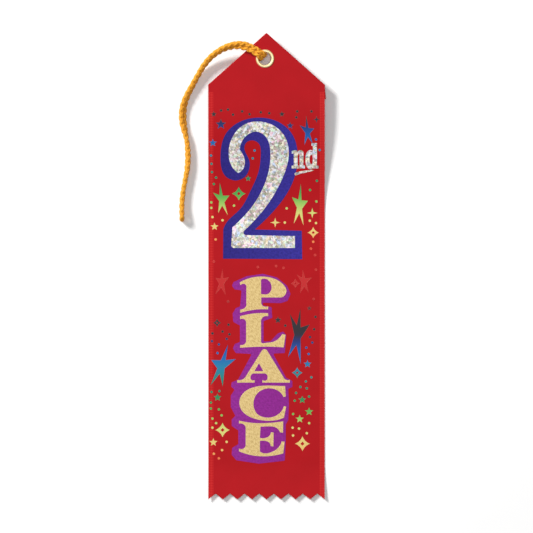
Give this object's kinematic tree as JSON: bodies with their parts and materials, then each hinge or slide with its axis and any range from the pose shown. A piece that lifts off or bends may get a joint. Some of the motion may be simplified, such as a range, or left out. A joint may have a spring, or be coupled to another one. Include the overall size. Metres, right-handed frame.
{
  "type": "award ribbon",
  "caption": "Flat satin award ribbon with a pointed folded top, brass eyelet, hanging cord loop, pinked lower end and a foil stamped second place design.",
  "frame": {"origin": "middle of the ribbon's underside, on the surface that it lies on", "axes": "+X to the right across the ribbon, +Y along it towards its pointed top, +Z out of its printed face"},
  "size_m": [0.0641, 0.2032, 0.0092],
  "materials": {
    "red_satin": "acetate satin, fine weave, soft sheen",
    "adhesive_film": "thin clear fabric adhesive film",
    "eyelet_brass": "polished pale brass",
    "blue_ink": "matt screen ink on satin",
    "silver_foil": "holographic silver stamping foil",
    "purple_ink": "matt screen ink on satin",
    "gold_foil": "pale gold stamping foil",
    "rainbow_foil": "stamping foil whose colour runs down the ribbon",
    "gold_cord": "soft twisted rayon cord"
  },
  "bodies": {
    "ribbon": {"satin_ribbon": "red_satin", "first_fold_adhesive": "adhesive_film", "second_fold_adhesive": "adhesive_film", "eyelet": "eyelet_brass", "numeral_ink_border": "blue_ink", "numeral_foil": "silver_foil", "ordinal_n_foil": "silver_foil", "ordinal_d_foil": "silver_foil", "ordinal_underline_foil": "silver_foil", "lettering_ink_border": "purple_ink", "letter_p_foil": "gold_foil", "letter_l_foil": "gold_foil", "letter_a_foil": "gold_foil", "letter_c_foil": "gold_foil", "letter_e_foil": "gold_foil", "long_star_foils": "rainbow_foil", "small_star_foils": "rainbow_foil", "diamond_foils": "rainbow_foil", "sparkle_foils": "rainbow_foil", "dot_foils": "rainbow_foil"},
    "hang_cord": {"cord_loop": "gold_cord", "stopper_knot": "gold_cord", "cord_tails": "gold_cord"}
  },
  "joints": [
    {"name": "cord_swing", "type": "hinge", "parent": "ribbon", "child": "hang_cord", "pos_m": [-0.00065, 0.0906, 0.0054], "axis": [0, 0, 1], "range_deg": [-153, 0]}
  ]
}
